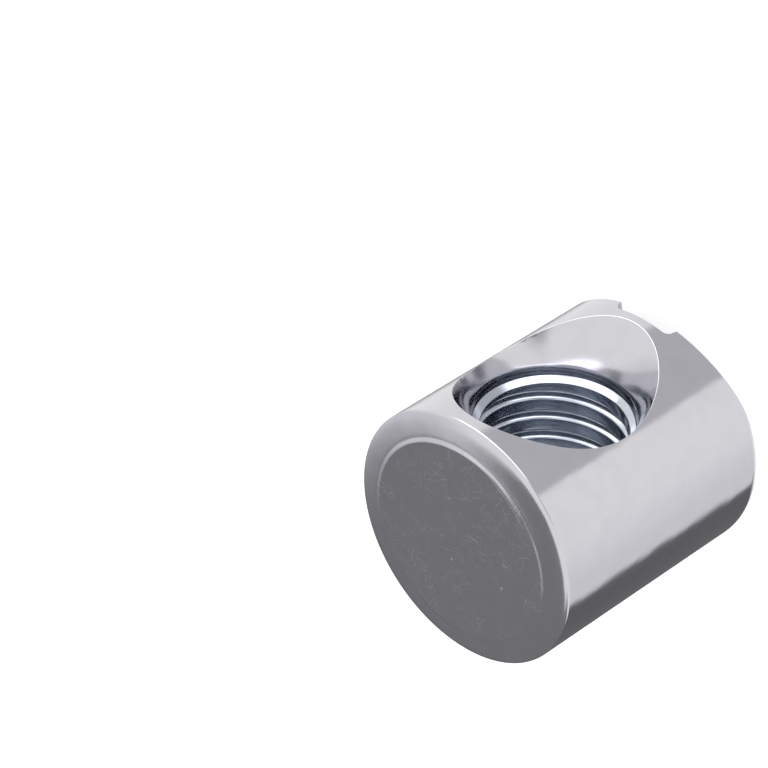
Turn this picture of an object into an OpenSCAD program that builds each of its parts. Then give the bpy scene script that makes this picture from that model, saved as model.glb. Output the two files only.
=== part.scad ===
// Barrel nut (cross dowel): a one-piece plated steel barrel with a threaded cross hole.
// The barrel stands on its slotted end, with +Z along the barrel and the countersunk mouth
// of the threaded hole facing -Y. The origin is the centre of the slotted end.
// All sizes are in millimetres.

/* [Barrel] */
// Diameter of the barrel
barrel_d = 14; // [13:0.1:24]
// Length from the slotted end to the face of the plain end
barrel_len = 15; // [14.5:0.1:40]
// Radius of the rounded edge at the plain end
plain_edge_r = 0.55; // [0.2:0.05:1]
// Radius of the rounded edge at the slotted end
slotted_edge_r = 0.7; // [0.2:0.05:1.2]

/* [Raised disc on the plain end] */
// Diameter of the raised disc at its foot
disc_d = 11.5; // [6:0.1:11.8]
// Height of the raised disc above the end around it
disc_h = 0.15; // [0.05:0.05:0.5]
// Width of the disc's sloping edge
disc_edge_w = 0.25; // [0.05:0.05:0.6]

/* [Threaded hole] */
// Height of the hole's axis above the slotted end
hole_z = 8.1; // [7.8:0.1:8.4]
// Diameter of the plain bore at the crests of the thread, here M8
bore_d = 7.5; // [5:0.05:7.6]

/* [Countersinks] */
// Diameter of the mouth's countersink, measured at the barrel's outermost line
mouth_d = 11.6; // [9:0.1:11.8]
// Included angle of the mouth's countersink
mouth_angle = 84; // [80:1:100]
// Diameter of the short counterbore between the mouth's countersink and the thread
relief_d = 8.3; // [7.8:0.1:8.6]
// Depth of that counterbore below the barrel's outermost line
relief_depth = 3.3; // [2.4:0.05:3.8]
// Diameter of the exit's countersink, measured at the barrel's outermost line
exit_d = 8.8; // [8.6:0.1:9.5]
// Included angle of the exit's countersink
exit_angle = 90; // [80:1:100]

/* [Screwdriver slot] */
// Width of the slot at its mouth
slot_w = 4; // [3.5:0.1:4.5]
// Width of the slot at its floor
slot_floor_w = 3.5; // [1.5:0.1:4]
// Depth of the slot below the end
slot_depth = 1.75; // [0.8:0.05:1.9]
// Slope of the ramp that runs down to the slot's end, beside the countersunk mouth
ramp_angle = 13.5; // [5:0.5:18]
// Distance of the ramp's top edge from the barrel's axis
ramp_start = 2.1; // [1:0.1:4]

/* [Hidden] */
$fn = 96;
overcut = 1;             // how far a cut runs past the surface that it opens
barrel_r = barrel_d / 2;
disc_r = disc_d / 2;
shoulder_z = barrel_len - disc_h;      // the end around the raised disc
full_band_h = shoulder_z - plain_edge_r - slotted_edge_r;
steel = [0.78, 0.79, 0.81];

// Half of the barrel's section, from its axis outwards, with both edges rounded.
module barrel_section() {
    square([barrel_r - slotted_edge_r, shoulder_z - plain_edge_r]);
    square([barrel_r - max(plain_edge_r, slotted_edge_r), shoulder_z]);
    translate([0, slotted_edge_r]) square([barrel_r, full_band_h]);
    translate([0, slotted_edge_r]) square([barrel_r - plain_edge_r, shoulder_z - slotted_edge_r]);
    translate([barrel_r - slotted_edge_r, slotted_edge_r]) circle(slotted_edge_r);
    translate([barrel_r - plain_edge_r, shoulder_z - plain_edge_r]) circle(plain_edge_r);
}

// Half of the raised disc's section, with a sloping edge.
module disc_section() {
    polygon([
        [0, shoulder_z - disc_h],
        [disc_r, shoulder_z - disc_h],
        [disc_r, shoulder_z],
        [disc_r - disc_edge_w, barrel_len],
        [0, barrel_len]
    ]);
}

// A cone about the hole's axis, of the given diameter at the barrel's outermost line.
module countersink(d, angle) {
    slope = tan(angle / 2);
    depth = d / 2 / slope;
    translate([0, 0, barrel_r - depth])
        cylinder(h = depth + overcut, r1 = 0, r2 = d / 2 + overcut * slope);
}

// A bore about the hole's axis with a conical bottom, its depth taken from the barrel's outermost line.
module counterbore(d, depth, angle) {
    point_h = d / 2 / tan(angle / 2);
    translate([0, 0, barrel_r - depth]) cylinder(h = depth + overcut, d = d);
    translate([0, 0, barrel_r - depth - point_h]) cylinder(h = point_h, r1 = 0, r2 = d / 2);
}

// Everything that is cut along the hole: the bore, its two countersinks and the mouth's counterbore.
module hole_cut() {
    translate([0, 0, hole_z]) {
        rotate([90, 0, 0])
            cylinder(h = barrel_d + 2 * overcut, d = bore_d, center = true);
        rotate([90, 0, 0]) countersink(mouth_d, mouth_angle);
        rotate([90, 0, 0]) counterbore(relief_d, relief_depth, mouth_angle);
        rotate([-90, 0, 0]) countersink(exit_d, exit_angle);
    }
}

// The slot across the end, in line with the hole, a little wider at its mouth.
module slot_cut() {
    flare = (slot_w - slot_floor_w) / 2 * overcut / slot_depth;
    rotate([90, 0, 0])
        linear_extrude(height = barrel_d + 2 * overcut, center = true)
            polygon([
                [-slot_floor_w / 2, slot_depth],
                [slot_floor_w / 2, slot_depth],
                [slot_w / 2 + flare, -overcut],
                [-slot_w / 2 - flare, -overcut]
            ]);
}

// The ramp on the end, which falls away from the axis towards the countersunk mouth.
module ramp_cut() {
    reach = barrel_r + overcut;
    rise = (reach - ramp_start) * tan(ramp_angle);
    drop = overcut / tan(ramp_angle);
    rotate([90, 0, 90])
        linear_extrude(height = barrel_d + 2 * overcut, center = true)
            polygon([
                [-ramp_start + drop, -overcut],
                [-reach, -overcut],
                [-reach, rise]
            ]);
}

module barrel_nut() {
    color(steel) difference() {
        rotate_extrude() {
            barrel_section();
            disc_section();
        }
        hole_cut();
        slot_cut();
        ramp_cut();
    }
}

barrel_nut();
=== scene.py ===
# A barrel nut, standing on its slotted end. Everything is in metres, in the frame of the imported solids:
# +Z runs along the barrel to its plain end, and the countersunk mouth of the threaded hole faces -Y.
from math import atan, cos, pi, radians, sin, tan

import bpy
import numpy as np
from mathutils import Matrix, Vector


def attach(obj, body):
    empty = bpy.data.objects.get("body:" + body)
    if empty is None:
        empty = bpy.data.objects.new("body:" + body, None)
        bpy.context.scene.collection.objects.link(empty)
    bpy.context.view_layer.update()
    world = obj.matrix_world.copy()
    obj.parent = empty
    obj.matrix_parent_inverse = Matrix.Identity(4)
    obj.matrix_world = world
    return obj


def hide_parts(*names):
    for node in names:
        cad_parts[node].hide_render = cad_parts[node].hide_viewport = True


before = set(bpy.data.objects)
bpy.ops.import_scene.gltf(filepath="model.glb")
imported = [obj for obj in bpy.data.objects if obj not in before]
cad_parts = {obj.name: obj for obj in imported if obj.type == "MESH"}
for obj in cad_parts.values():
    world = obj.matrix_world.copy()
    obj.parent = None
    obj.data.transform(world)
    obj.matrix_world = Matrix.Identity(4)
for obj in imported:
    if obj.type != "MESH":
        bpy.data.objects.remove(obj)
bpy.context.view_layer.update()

MM = 0.001


# ---------------------------------------------------------------------------------------------
# Barrel. The real piece is a blank of round steel bar, headed and turned, with a low disc on
# its plain end and softly rounded edges. A screwdriver slot with a ramp is pressed into the
# other end, the hole is drilled and countersunk across it, and the whole is tumbled.
# ---------------------------------------------------------------------------------------------
barrel_r = 7.0 * MM
barrel_len = 15.0 * MM
disc_flat_r = 5.42 * MM          # where the disc's flat face ends
disc_foot_r = 5.75 * MM          # where its sloping edge meets the end
disc_h = 0.15 * MM
step_h = 0.09 * MM                # how much of that is a step, the rest is the crown round it
shoulder_z = barrel_len - disc_h
foot_z = barrel_len - step_h
plain_edge_h = 0.42 * MM         # the plain end is a little crowned round the disc, and its edge rolls over
plain_crown_h = 0.23 * MM
slotted_edge_r = 0.7 * MM
edge_steps = 14
barrel_sides = 512
overcut = 1.0 * MM               # how far a cut runs past the surface that it opens


def spin_up(name, points, steps, turned=None):
    """A closed solid of revolution about Z from points of (radius, height), the first and last on the axis."""
    bpy.ops.object.select_all(action="DESELECT")
    bpy.ops.mesh.primitive_plane_add(size=MM)
    piece = bpy.context.object
    piece.name = name
    bpy.ops.object.mode_set(mode="EDIT")
    bpy.ops.mesh.select_all(action="SELECT")
    bpy.ops.mesh.merge(type="CENTER")
    bpy.ops.transform.translate(value=(points[0][0], 0, points[0][1]))
    for (r0, z0), (r1, z1) in zip(points, points[1:]):
        bpy.ops.mesh.extrude_vertices_move(TRANSFORM_OT_translate={"value": (r1 - r0, 0, z1 - z0)})
    bpy.ops.mesh.select_all(action="SELECT")
    bpy.ops.mesh.spin(steps=steps, angle=2 * pi, center=(0, 0, 0), axis=(0, 0, 1))
    bpy.ops.mesh.select_all(action="SELECT")
    bpy.ops.mesh.remove_doubles(threshold=0.0005 * MM)
    bpy.ops.mesh.normals_make_consistent(inside=False)
    bpy.ops.mesh.dissolve_limited(angle_limit=radians(0.05))
    bpy.ops.object.mode_set(mode="OBJECT")
    if turned is not None:
        piece.data.transform(turned)
    return piece


def curve(start, bend, end, steps):
    """The points of a quadratic curve that leaves start and enters end along the lines to bend."""
    share = [i / steps for i in range(steps + 1)]
    return [tuple((1 - t) ** 2 * a + 2 * t * (1 - t) * b + t ** 2 * c for a, b, c in zip(start, bend, end))
            for t in share]


quarter = [i / edge_steps * pi / 2 for i in range(edge_steps + 1)]
section = [(0, 0)]
section += [(barrel_r - slotted_edge_r * (1 - sin(a)), slotted_edge_r * (1 - cos(a))) for a in quarter]
section += curve((barrel_r, foot_z - plain_edge_h), (barrel_r, foot_z - plain_crown_h),
                 (disc_foot_r, foot_z), edge_steps)
foot_steps = [i / 10 for i in range(11)]
section += [(disc_foot_r + (disc_flat_r - disc_foot_r) * t,
             foot_z + step_h * (3 * t ** 2 - 2 * t ** 3)) for t in foot_steps[1:]]
section += [(0, barrel_len)]
barrel = spin_up("barrel_nut_body", section, barrel_sides)

# The hole, as one step drill whose +Z turns to -Y, out of the countersunk mouth.
hole_z = 8.1 * MM
pilot_r = 3.65 * MM              # the hole before it is tapped
mouth_r = 5.8 * MM               # the countersinks' radii at the barrel's outermost line
mouth_slope = tan(radians(42))
relief_r = 4.13 * MM             # the short counterbore between the mouth's cone and the thread
relief_depth = 3.3 * MM
relief_len = 0.42 * MM
throat_slope = tan(radians(23))  # the mouth steepens on its way down to the counterbore
flare_top = 6.85 * MM
blend_steps = 16
flank_slope = tan(radians(30))   # a thread's flank leans by 30 degrees from square to its axis
exit_r = 4.4 * MM
exit_slope = tan(radians(45))
drill_sides = 384
to_mouth = Matrix.Translation((0, 0, hole_z)) @ Matrix.Rotation(pi / 2, 4, "X")


def cut(piece, tool):
    """Takes tool's solid out of piece, and tool with it."""
    boolean = piece.modifiers.new("cut", "BOOLEAN")
    boolean.operation, boolean.solver, boolean.object = "DIFFERENCE", "MANIFOLD", tool
    bpy.ops.object.select_all(action="DESELECT")
    bpy.context.view_layer.objects.active = piece
    piece.select_set(True)
    bpy.ops.object.modifier_apply(modifier=boolean.name)
    bpy.data.objects.remove(tool)


exit_end = -barrel_r - overcut
mouth_end = barrel_r + overcut
relief_end = barrel_r - relief_depth
cone_foot_r = mouth_r - barrel_r * mouth_slope
throat = relief_end + relief_len
flare_bend = (relief_r - throat * throat_slope - cone_foot_r) / (mouth_slope - throat_slope)
drill = [(0, exit_end), (exit_r + overcut * exit_slope, exit_end), (pilot_r, -barrel_r + (exit_r - pilot_r) / exit_slope)]
drill += [(pilot_r, relief_end - (relief_r - pilot_r) * flank_slope), (relief_r, relief_end)]
drill += curve((relief_r, throat), (cone_foot_r + flare_bend * mouth_slope, flare_bend),
               (cone_foot_r + flare_top * mouth_slope, flare_top), blend_steps)
drill += [(mouth_r + overcut * mouth_slope, mouth_end), (0, mouth_end)]
cut(barrel, spin_up("drill", drill, drill_sides, to_mouth))

slot_w = 4.0 * MM
slot_floor_w = 3.5 * MM
slot_depth = 1.75 * MM
slot_corner_r = 0.35 * MM
ramp_slope = tan(radians(13.5))
ramp_start = 2.1 * MM


def slab(name, outline, half_w, turned):
    """A closed prism from an outline of (across, along) points, spread half_w to both sides, then turned into place."""
    bpy.ops.object.select_all(action="DESELECT")
    bpy.ops.mesh.primitive_circle_add(vertices=len(outline), radius=MM, fill_type="NGON")
    piece = bpy.context.object
    piece.name = name
    for vertex, (across, along) in zip(piece.data.vertices, outline):
        vertex.co = (across, along, -half_w)
    bpy.ops.object.mode_set(mode="EDIT")
    bpy.ops.mesh.select_all(action="SELECT")
    bpy.ops.mesh.extrude_region_move(TRANSFORM_OT_translate={"value": (0, 0, 2 * half_w)})
    bpy.ops.mesh.select_all(action="SELECT")
    bpy.ops.mesh.normals_make_consistent(inside=False)
    bpy.ops.object.mode_set(mode="OBJECT")
    piece.data.transform(turned)
    return piece


flare = (slot_w - slot_floor_w) / 2 * overcut / slot_depth
half_floor = slot_floor_w / 2
slot_outline = [(-slot_w / 2 - flare, -overcut)]
slot_outline += curve((-half_floor - slot_corner_r / 7, slot_depth - slot_corner_r), (-half_floor, slot_depth),
                      (-half_floor + slot_corner_r, slot_depth), 5)
slot_outline += curve((half_floor - slot_corner_r, slot_depth), (half_floor, slot_depth),
                      (half_floor + slot_corner_r / 7, slot_depth - slot_corner_r), 5)
slot_outline += [(slot_w / 2 + flare, -overcut)]
along_y = Matrix.Rotation(pi / 2, 4, "X")          # stands the outline up, so that it runs along Y
cut(barrel, slab("slot", slot_outline, barrel_r + overcut, along_y))

reach = barrel_r + overcut
ramp_outline = [(-ramp_start + overcut / ramp_slope, -overcut), (-reach, -overcut),
                (-reach, (reach - ramp_start) * ramp_slope)]
across_x = Matrix(((0, 0, 1, 0), (1, 0, 0, 0), (0, 1, 0, 0), (0, 0, 0, 1)))
cut(barrel, slab("ramp", ramp_outline, barrel_r + overcut, across_x))

# Tumbling breaks the cut edges, and leaves the ramp's flat border keener than the rest.
worn_edge_w = 0.02 * MM
keen_share = 0.15
sharp_fold = radians(30)
bpy.ops.object.mode_set(mode="EDIT")
bpy.ops.mesh.select_all(action="SELECT")
bpy.ops.mesh.remove_doubles(threshold=0.02 * MM)
bpy.ops.mesh.select_all(action="DESELECT")
bpy.ops.mesh.select_mode(type="EDGE")
bpy.ops.mesh.edges_select_sharp(sharpness=sharp_fold)
bpy.ops.object.mode_set(mode="OBJECT")
bpy.context.tool_settings.mesh_select_mode = (True, False, False)
wear = barrel.data.attributes.new("bevel_weight_edge", "FLOAT", "EDGE")
for edge in barrel.data.edges:
    if edge.select:
        ends = [barrel.data.vertices[number].co for number in edge.vertices]
        keen = all(-ramp_start > end.y and end.z < 2 * slotted_edge_r for end in ends)
        wear.data[edge.index].value = keen_share if keen else 1
worn = barrel.modifiers.new("worn_edges", "BEVEL")
worn.width, worn.segments, worn.limit_method = worn_edge_w, 3, "WEIGHT"
worn.use_clamp_overlap = False
bpy.ops.object.modifier_apply(modifier=worn.name)


# ---------------------------------------------------------------------------------------------
# Thread. The hole is tapped M8 x 1.25, right-handed, after it is countersunk, so the thread
# runs out into the counterbore and into the exit's countersink. The plating softens its
# crests and roots.
# ---------------------------------------------------------------------------------------------
thread_minor_r = 3.75 * MM       # a large tapping drill leaves the crests broad and low
thread_major_r = 4.12 * MM
thread_pitch = 1.25 * MM
thread_turns = 13
thread_phase = radians(-111)
thread_sides = 180
crest_soft = 0.13 * MM           # how far the rounding reaches along the thread from its corners
root_soft = 0.04 * MM
soft_steps = 6
root_w = 0.10 * MM
flank_w = (thread_major_r - thread_minor_r) * flank_slope
crest_w = thread_pitch - 2 * flank_w - root_w


def softened(points, reaches):
    """The same path of (radius, height) with each corner on the way rounded, over its own reach to both sides."""
    path = points[:1]
    for before, corner, after, reach in zip(points, points[1:], points[2:], reaches):
        start, end = (Vector(corner) + (Vector(other) - Vector(corner)).normalized() * reach for other in (before, after))
        path += curve(start, corner, end, soft_steps)
    return path + points[-1:]


tooth = softened([(thread_minor_r, 0), (thread_minor_r, crest_w / 2), (thread_major_r, crest_w / 2 + flank_w),
                  (thread_major_r, crest_w / 2 + flank_w + root_w), (thread_minor_r, thread_pitch - crest_w / 2),
                  (thread_minor_r, thread_pitch)], (crest_soft, root_soft, root_soft, crest_soft))
bpy.ops.object.select_all(action="DESELECT")
bpy.ops.mesh.primitive_plane_add(size=MM)
tap = bpy.context.object
tap.name = "tap"
bpy.ops.object.mode_set(mode="EDIT")
bpy.ops.mesh.select_all(action="SELECT")
bpy.ops.mesh.merge(type="CENTER")
bpy.ops.transform.translate(value=(tooth[0][0], 0, tooth[0][1]))
for (r0, z0), (r1, z1) in zip(tooth, tooth[1:]):
    bpy.ops.mesh.extrude_vertices_move(TRANSFORM_OT_translate={"value": (r1 - r0, 0, z1 - z0)})
bpy.ops.object.mode_set(mode="OBJECT")
helix = tap.modifiers.new("helix", "SCREW")
helix.axis, helix.screw_offset, helix.iterations = "Z", thread_pitch, thread_turns
helix.steps = helix.render_steps = thread_sides
helix.use_merge_vertices, helix.merge_threshold = False, 0.0005 * MM
bpy.ops.object.modifier_apply(modifier=helix.name)
bpy.ops.object.mode_set(mode="EDIT")
bpy.ops.mesh.select_all(action="SELECT")
bpy.ops.mesh.remove_doubles(threshold=0.001 * MM)
for height, clear in ((1.5 * thread_pitch, "inner"), ((thread_turns - 0.5) * thread_pitch, "outer")):
    bpy.ops.mesh.select_all(action="SELECT")
    bpy.ops.mesh.bisect(plane_co=(0, 0, height), plane_no=(0, 0, 1), use_fill=True, threshold=0.0001 * MM,
                        clear_inner=clear == "inner", clear_outer=clear == "outer")
bpy.ops.mesh.select_all(action="SELECT")
bpy.ops.mesh.normals_make_consistent(inside=False)
bpy.ops.object.mode_set(mode="OBJECT")
middle = Matrix.Translation((0, 0, -thread_turns / 2 * thread_pitch))
tap.data.transform(to_mouth @ Matrix.Rotation(thread_phase, 4, "Z") @ middle)
cut(barrel, tap)

# The shading of the broad faces follows the true surface, however the cuts have split them up.
bpy.ops.object.shade_smooth_by_angle(angle=radians(28))
body = barrel.data
corners = np.empty(len(body.loops), int)
body.loops.foreach_get("vertex_index", corners)
starts = np.empty(len(body.polygons), int)
body.polygons.foreach_get("loop_start", starts)
counts = np.empty(len(body.polygons), int)
body.polygons.foreach_get("loop_total", counts)
places = np.empty(len(body.vertices) * 3)
body.vertices.foreach_get("co", places)
places = places.reshape(-1, 3)
facing = np.empty(len(body.polygons) * 3)
body.polygons.foreach_get("normal", facing)
facing = np.repeat(facing.reshape(-1, 3), counts, axis=0)
shown = np.array([corner.vector for corner in body.corner_normals])


def flat(point, towards):
    """For a plane: how far each place lies off it, and its normal there."""
    return (places - np.array(point)) @ np.array(towards), np.tile(towards, (len(places), 1))


def cone(centre, axis, radius, slope):
    """For a cone open towards axis, of this radius at its centre: how far each place lies off it, and its normal."""
    along = (places - np.array(centre)) @ np.array(axis)
    out = places - np.array(centre) - np.outer(along, axis)
    from_axis = np.maximum(np.linalg.norm(out, axis=1), 1e-9)
    lean = (1 + slope ** 2) ** -0.5
    return ((from_axis - radius - along * slope) * lean,
            (np.array(axis) * slope - out / from_axis[:, None]) * lean)


wall_off, wall_normals = cone((0, 0, 0), (0, 0, 1), barrel_r, 0)
half_w, flare_run = slot_w / 2, (slot_w - slot_floor_w) / 2
flare_len = (slot_depth ** 2 + flare_run ** 2) ** 0.5
surfaces = [(wall_off, -wall_normals),
            cone((0, -barrel_r, hole_z), (0, -1, 0), mouth_r, mouth_slope),
            cone((0, barrel_r, hole_z), (0, 1, 0), exit_r, exit_slope),
            flat((0, 0, barrel_len), (0, 0, 1)), flat((0, 0, 0), (0, 0, -1)), flat((0, 0, slot_depth), (0, 0, -1)),
            flat((half_w, 0, 0), (-slot_depth / flare_len, 0, -flare_run / flare_len)),
            flat((-half_w, 0, 0), (slot_depth / flare_len, 0, -flare_run / flare_len)),
            flat((0, -ramp_start, 0), (0, -sin(atan(ramp_slope)), -cos(atan(ramp_slope))))]
surface_gap, face_lean, edge_lean = 0.02 * MM, cos(radians(2)), cos(radians(50))
best = np.full(len(corners), edge_lean)
taken = np.zeros(len(corners), bool)
touching = []
for off, normals in surfaces:
    on_it = (np.abs(off[corners]) < surface_gap) & (np.sum(normals[corners] * facing, axis=1) > face_lean)
    shown[on_it] = normals[corners][on_it]
    taken |= on_it
    touched = np.zeros(len(places), bool)
    touched[corners[on_it]] = True
    touching.append(touched)
for (off, normals), touched in zip(surfaces, touching):
    fits = np.sum(normals[corners] * facing, axis=1)
    near = touched[corners] & ~taken & (fits > best)
    shown[near] = normals[corners][near]
    best[near] = fits[near]
body.normals_split_custom_set(shown.tolist())

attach(barrel, "root")
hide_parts("barrel_nut")


class Socket:
    """One output of a shader tree's node. Python's operators on it add the Math nodes that they stand for."""

    def __init__(self, tree, output=None):
        self.tree, self.output = tree, output

    def node(self, kind, settings, inputs, output=0):
        """Adds a node, sets it up, fills its inputs by number or name, and gives back one of its outputs."""
        added = self.tree.nodes.new(kind)
        for name, setting in settings.items():
            setattr(added, name, setting)
        for name, value in inputs.items():
            if isinstance(value, Socket):
                self.tree.links.new(value.output, added.inputs[name])
            else:
                added.inputs[name].default_value = value
        return Socket(self.tree, added.outputs[output])

    def math(self, operation, *values):
        return self.node("ShaderNodeMath", {"operation": operation}, dict(enumerate(values)))

    def __add__(self, other):
        return self.math("ADD", self, other)

    def __sub__(self, other):
        return self.math("SUBTRACT", self, other)

    def __rsub__(self, other):
        return self.math("SUBTRACT", other, self)

    def __mul__(self, other):
        return self.math("MULTIPLY", self, other)

    __radd__ = __add__
    __rmul__ = __mul__

    def rising(self, low, high):
        """0 on low's side, 1 on high's side, and smooth between them."""
        return self.node("ShaderNodeMapRange", {"interpolation_type": "SMOOTHSTEP"}, {0: self, 1: low, 2: high})

    def __abs__(self):
        return self.math("ABSOLUTE", self)

    def root(self):
        return self.math("SQRT", self)

    def mixed(self, start, end):
        """The colour start where this value is 0, and end where it is 1."""
        return self.node("ShaderNodeMix", {"data_type": "RGBA"}, {0: self, 6: start, 7: end}, 2)

    def point(self, x, y, z):
        return self.node("ShaderNodeCombineXYZ", {}, {0: x, 1: y, 2: z})

    def noise(self, scale=1.0, detail=2.0):
        """Noise from 0 to 1 at this point."""
        return self.node("ShaderNodeTexNoise", {}, {"Vector": self, "Scale": scale, "Detail": detail})


bright_zinc = (0.655, 0.645, 0.68, 1)
shaded_blue_zinc = (0.37, 0.405, 0.47, 1)         # painted darker down the hole, as painted shade there; its blue tint is the chromate film
highlit_flank_zinc = (0.57, 0.605, 0.66, 1)         # painted paler on the flanks than elsewhere in the hole, as a painted highlight where they catch the light
dull_zinc = (0.56, 0.55, 0.58, 1)

plate = bpy.data.materials.new("zinc_plate")
plate.use_nodes = True
shader = plate.node_tree.nodes["Principled BSDF"]
shader.inputs["Metallic"].default_value = 1
tree = Socket(plate.node_tree)
metres = tree.node("ShaderNodeTexCoord", {}, {}, "Object")
spot = tree.node("ShaderNodeVectorMath", {"operation": "SCALE"}, {0: metres, "Scale": 1 / MM})
x, y, z = (tree.node("ShaderNodeSeparateXYZ", {}, {0: spot}, axis) for axis in range(3))

# Where the surface lies, in millimetres: down the hole, or on the plain end.
above_hole = z - hole_z / MM
from_hole = (x * x + above_hole * above_hole).root()
down_hole = from_hole.rising(relief_r / MM + 0.3, relief_r / MM) * y.rising(-relief_end / MM - 0.9, -relief_end / MM + 0.2)
on_end = z.rising((shoulder_z - plain_edge_h) / MM, shoulder_z / MM)

# Fine scratches from handling: hair-thin, faint, a little curved, lying every way on the plain end.
strokes = ((12, 19, 0.68), (38, 24, 0.69), (64, 17, 0.69), (97, 25, 0.69), (121, 20, 0.68), (158, 22, 0.69))
stroke_length_scale = 0.5
sway = spot.noise(0.35, 1.0) * 1.2
scratches = 0.0
for turn, fineness, rarity in strokes:
    along = x * cos(radians(turn)) + y * sin(radians(turn))
    across = y * cos(radians(turn)) - x * sin(radians(turn)) + sway
    stroke = tree.point(along * stroke_length_scale, across * fineness, turn * 1.0).noise(1.0, 1.0)
    scratches = stroke.rising(rarity, rarity + 0.06) + scratches
on_disc = (x * x + y * y).root().rising(disc_foot_r / MM + 0.3, disc_flat_r / MM - 0.1)
scratches = scratches * spot.noise(0.5, 2.0).rising(0.3, 0.55) * (on_disc * 0.75 + 0.25)

# Two longer curved scratches, side by side across the disc's edge.
long_scratches = 0.0
for radius, low_y, high_y in ((5.93, -5.2, -2.9), (6.10, -5.6, -3.4)):
    from_centre = ((x - 0.55) * (x - 0.55) + (y - 0.35) * (y - 0.35)).root()
    reach = y.rising(low_y, low_y + 0.4) * y.rising(high_y, high_y - 0.6) * x.rising(0, -1)
    long_scratches = long_scratches + abs(from_centre - radius).rising(0.035, 0.012) * reach

# Specks where the plate was nicked.
nicks = tree.node("ShaderNodeTexVoronoi", {}, {"Vector": spot, "Scale": 0.75, "Randomness": 1.0}, "Distance")
specks = nicks.rising(0.075, 0.03)

smudges = spot.noise(0.9, 4.0)
open_metal = 1.0 - down_hole
marks = on_end * (scratches * 0.55 + long_scratches * 0.8 + specks * 0.8)
worn_colour = (smudges.rising(0.35, 0.75) * 0.25).mixed(bright_zinc, dull_zinc)
# The flank mask picks out the part of the hole that is painted paler, as a painted highlight.
on_flank = from_hole.rising(thread_minor_r / MM + 0.005, thread_minor_r / MM + 0.04)
on_flank = on_flank * from_hole.rising(relief_r / MM - 0.003, relief_r / MM - 0.02)
# Down the hole the colour is painted darker, as painted shade in the hole, with the blue tint of the chromate film. On
# the flanks it is painted paler, as a painted highlight.
colour = down_hole.mixed(worn_colour, on_flank.mixed(shaded_blue_zinc, highlit_flank_zinc))
roughness = 0.15 + open_metal * (smudges * 0.05 - 0.05 + on_end * 0.04 + marks * 0.5)
waves = spot.noise(0.55, 1.0) * 0.02 + spot.noise(3.5, 2.0) * 0.0015
height = open_metal * (waves - marks * 0.0015)
relief = tree.node("ShaderNodeBump", {}, {"Height": height * MM, "Strength": 1.0, "Distance": 1.0})
for name, value in (("Base Color", colour), ("Roughness", roughness), ("Normal", relief)):
    plate.node_tree.links.new(value.output, shader.inputs[name])
barrel.data.materials.clear()
barrel.data.materials.append(plate)


# ---------------------------------------------------------------------------------------------
# Camera. It looks down on the nut from the side of the countersunk mouth, and is rolled so that
# the barrel lies across the frame.
# ---------------------------------------------------------------------------------------------
camera_place = Vector((-97.03, -113.41, 120.64)) * MM
camera_ahead = Vector((0.5633, 0.5864, -0.5822)).normalized()
camera_right = Vector((-0.7152, -0.0068, -0.6988))
camera_lens = 172.91                                # in mm, on a sensor 36 mm wide
camera_up = camera_right.cross(camera_ahead).normalized()
camera_right = camera_ahead.cross(camera_up)
camera = bpy.data.objects.new("camera", bpy.data.cameras.new("camera"))
bpy.context.scene.collection.objects.link(camera)
camera_turn = Matrix((camera_right, camera_up, -camera_ahead)).transposed().to_4x4()
camera.matrix_world = Matrix.Translation(camera_place) @ camera_turn
camera.data.lens, camera.data.sensor_width = camera_lens, 36
camera.data.clip_start, camera.data.clip_end = 0.01, 10
bpy.context.scene.camera = camera


# ---------------------------------------------------------------------------------------------
# Studio. A white paper floor that keeps the nut's shadow, a white surround, one soft lamp in
# front of the hole, and curved cards, dark, grey and lit, that only the metal sees.
# ---------------------------------------------------------------------------------------------
def background_rays(tree):
    """1 for the rays that should meet a plain white background: camera, glossy and transmission rays."""
    seen, mirrored, passed = (tree.node("ShaderNodeLightPath", {}, {}, name)
                              for name in ("Is Camera Ray", "Is Glossy Ray", "Is Transmission Ray"))
    either = tree.math("MAXIMUM", seen, mirrored)
    return tree.math("MAXIMUM", either, passed)


surround = bpy.data.worlds.new("studio")
bpy.context.scene.world = surround
surround.use_nodes = True
tree = Socket(surround.node_tree)
soft_light, white = (0.8, 0.8, 0.8, 1), (1, 1, 1, 1)
sky = background_rays(tree).mixed(soft_light, white)
surround.node_tree.links.new(sky.output, surround.node_tree.nodes["Background"].inputs["Color"])

bpy.ops.object.select_all(action="DESELECT")
bpy.ops.mesh.primitive_plane_add(size=6)
floor = bpy.context.object
floor.name = "floor"
paper = bpy.data.materials.new("white_paper")
paper.use_nodes = True
sheet = paper.node_tree.nodes["Principled BSDF"]
sheet.inputs["Base Color"].default_value = soft_light
sheet.inputs["Roughness"].default_value = 1
sheet.inputs["Specular IOR Level"].default_value = 0
tree = Socket(paper.node_tree)
glow = tree.node("ShaderNodeEmission", {}, {"Strength": background_rays(tree) * 0.60})
both = tree.node("ShaderNodeAddShader", {}, {0: Socket(paper.node_tree, sheet.outputs[0]), 1: glow})
paper.node_tree.links.new(both.output, paper.node_tree.nodes["Material Output"].inputs["Surface"])
floor.data.materials.append(paper)
floor.visible_glossy = False


cool = 1.04                                         # how much more blue than red the cards give back


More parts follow.
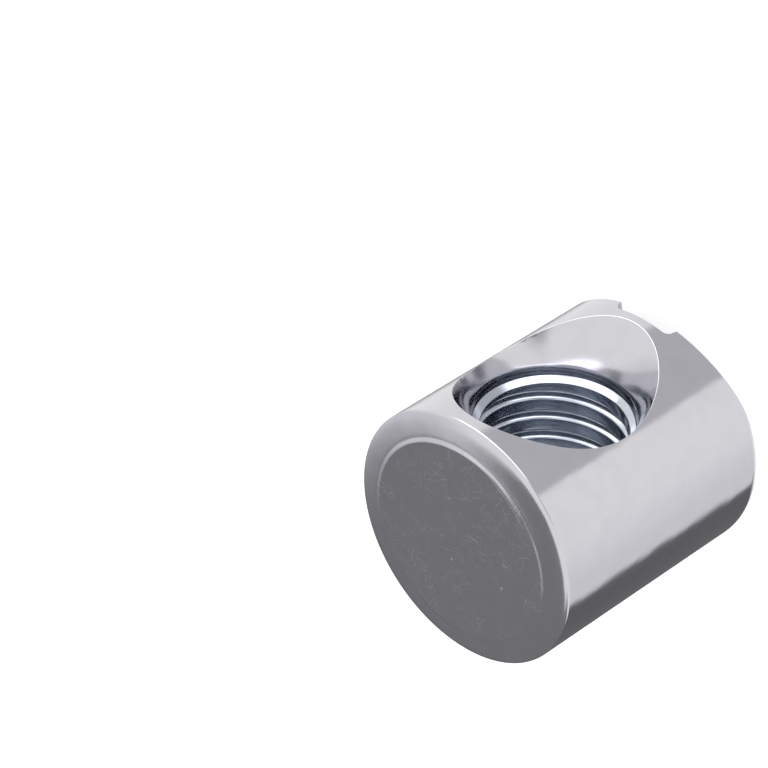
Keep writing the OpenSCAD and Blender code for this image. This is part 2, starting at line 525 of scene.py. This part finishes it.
def card(name, azimuths, elevations, glow, fade_across, fade_up, away=0.4):
    """A curved card round the nut, azimuth counted from +X towards +Y, with a colour at its foot and one at its top.
    Its edges fade over these shares of its width and height."""
    bpy.ops.object.select_all(action="DESELECT")
    bpy.ops.mesh.primitive_grid_add(x_subdivisions=24, y_subdivisions=24, size=2)
    sheet = bpy.context.object
    sheet.name = name
    for vertex in sheet.data.vertices:
        azimuth, elevation = (radians(low + (high - low) * (share + 1) / 2)
                              for (low, high), share in zip((azimuths, elevations), vertex.co))
        vertex.co = (away * cos(azimuth) * cos(elevation), away * sin(azimuth) * cos(elevation),
                     barrel_len / 2 + away * sin(elevation))
    paint = bpy.data.materials.new(name)
    paint.use_nodes = True
    paint.node_tree.nodes.remove(paint.node_tree.nodes["Principled BSDF"])
    tree = Socket(paint.node_tree)
    grid = tree.node("ShaderNodeUVMap", {"uv_map": "UVMap"}, {})
    across, up = (tree.node("ShaderNodeSeparateXYZ", {}, {0: grid}, axis) for axis in (0, 1))
    cover = across.rising(0, fade_across[0]) * across.rising(1, 1 - fade_across[1])
    cover = cover * up.rising(0, fade_up[0]) * up.rising(1, 1 - fade_up[1])
    foot, top = glow
    shade = up.rising(0.3, 0.7).mixed((foot, foot, foot * cool, 1), (top, top, top * cool, 1))
    lit = tree.node("ShaderNodeEmission", {}, {"Color": shade})
    clear = tree.node("ShaderNodeBsdfTransparent", {}, {})
    shown = tree.node("ShaderNodeMixShader", {}, {0: cover, 1: clear, 2: lit})
    paint.node_tree.links.new(shown.output, paint.node_tree.nodes["Material Output"].inputs["Surface"])
    sheet.data.materials.append(paint)
    sheet.visible_camera = sheet.visible_diffuse = sheet.visible_transmission = sheet.visible_shadow = False


card("dark_card", (14, 127), (-56, 54), (0.150, 0.225), (0.27, 0.07), (0.12, 0.12))
card("top_card", (14, 102), (40, 83), (0.23, 0.23), (0.3, 0.08), (0.02, 0.1), 0.44)
card("grey_card", (224, 302), (-64, -20), (0.60, 0.60), (0.05, 0.12), (0.1, 0.1))
card("tall_card", (226, 252), (-26, 30), (0.60, 0.60), (0.2, 0.3), (0.2, 0.2), 0.41)
card("smudge_card", (194, 240), (0, 40), (0.32, 0.32), (0.4, 0.4), (0.4, 0.4), 0.40)
card("pale_card", (118, 185), (-60, -10), (0.84, 0.84), (0.02, 0.8), (0.2, 0.2), 0.42)
card("side_card", (-15, 60), (-20, 62), (0.80, 0.80), (0.3, 0.3), (0.2, 0.2), 0.43)
card("front_light", (-126, -40), (-33, 22), (2.9, 2.9), (0.15, 0.15), (0.25, 0.3), 0.38)
card("high_light", (-95, -46), (0, 36), (2.6, 2.6), (0.3, 0.2), (0.3, 0.25), 0.37)

lamp = bpy.data.objects.new("front_lamp", bpy.data.lights.new("front_lamp", "AREA"))
bpy.context.scene.collection.objects.link(lamp)
lamp_size = (0.30, 0.10)
lamp_radiance = 2.2
lamp.data.shape, lamp.data.size, lamp.data.size_y = "RECTANGLE", *lamp_size
lamp.data.energy = lamp_radiance * pi * lamp_size[0] * lamp_size[1]
lamp.location = (0, -0.38, 0.07)
lamp.rotation_euler = (Vector((0, 0, barrel_len / 2)) - lamp.location).to_track_quat("-Z", "Y").to_euler()
lamp.visible_glossy = False                         # the metal sees the cards instead, whose edges are soft

bpy.context.scene.view_settings.view_transform = "Standard"
